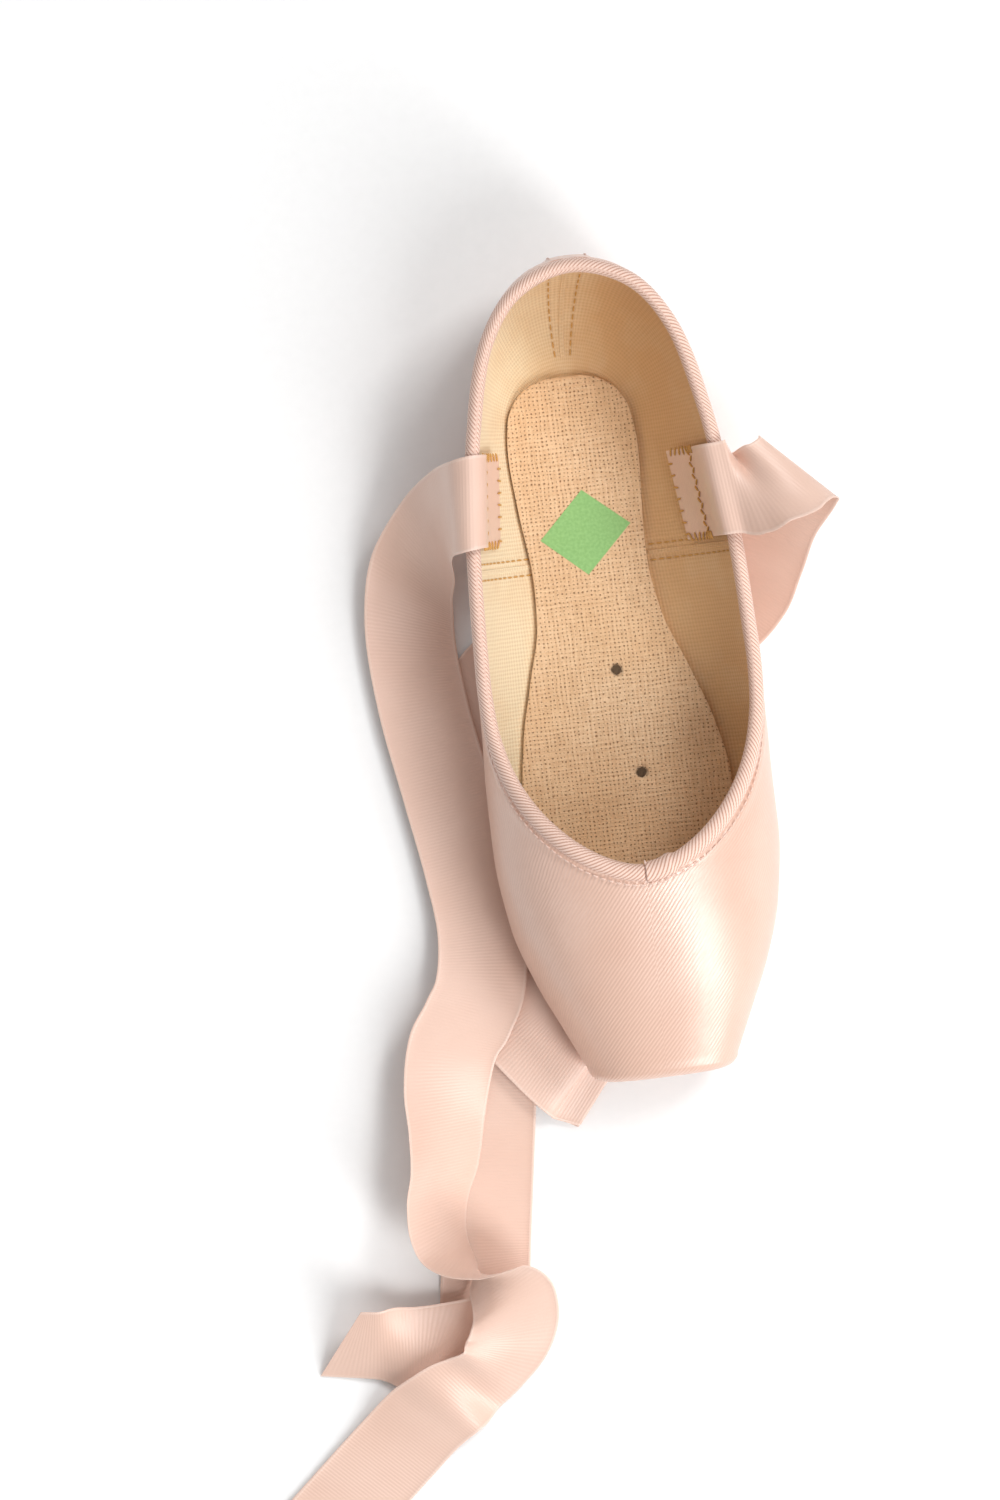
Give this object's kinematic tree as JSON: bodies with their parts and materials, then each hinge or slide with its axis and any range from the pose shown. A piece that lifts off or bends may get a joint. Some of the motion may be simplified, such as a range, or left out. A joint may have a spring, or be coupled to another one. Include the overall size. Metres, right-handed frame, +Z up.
{
  "type": "pointe shoe",
  "caption": "Satin pointe shoe with a stiff toe box, a flat platform, a narrow leather outsole, a cotton lining, a taped collar and loose ribbons.",
  "frame": {"origin": "on the floor under the middle of the shoe's length and width", "axes": "+Y points from the toe to the heel, +Z up, +X to the shoe's right as seen from above with the toe down"},
  "size_m": [0.1867, 0.3544, 0.0576],
  "materials": {
    "satin": "satin weave, pink",
    "sole_leather": "suede-faced tan leather",
    "insole_board": "open-weave canvas over board",
    "binding_tape": "ribbed cotton tape",
    "ribbon": "soft satin ribbon"
  },
  "bodies": {
    "root": {"upper": "satin", "outsole": "sole_leather", "insole": "insole_board", "binding": "binding_tape", "ribbon_left": "ribbon", "ribbon_right": "ribbon"}
  },
  "joints": []
}
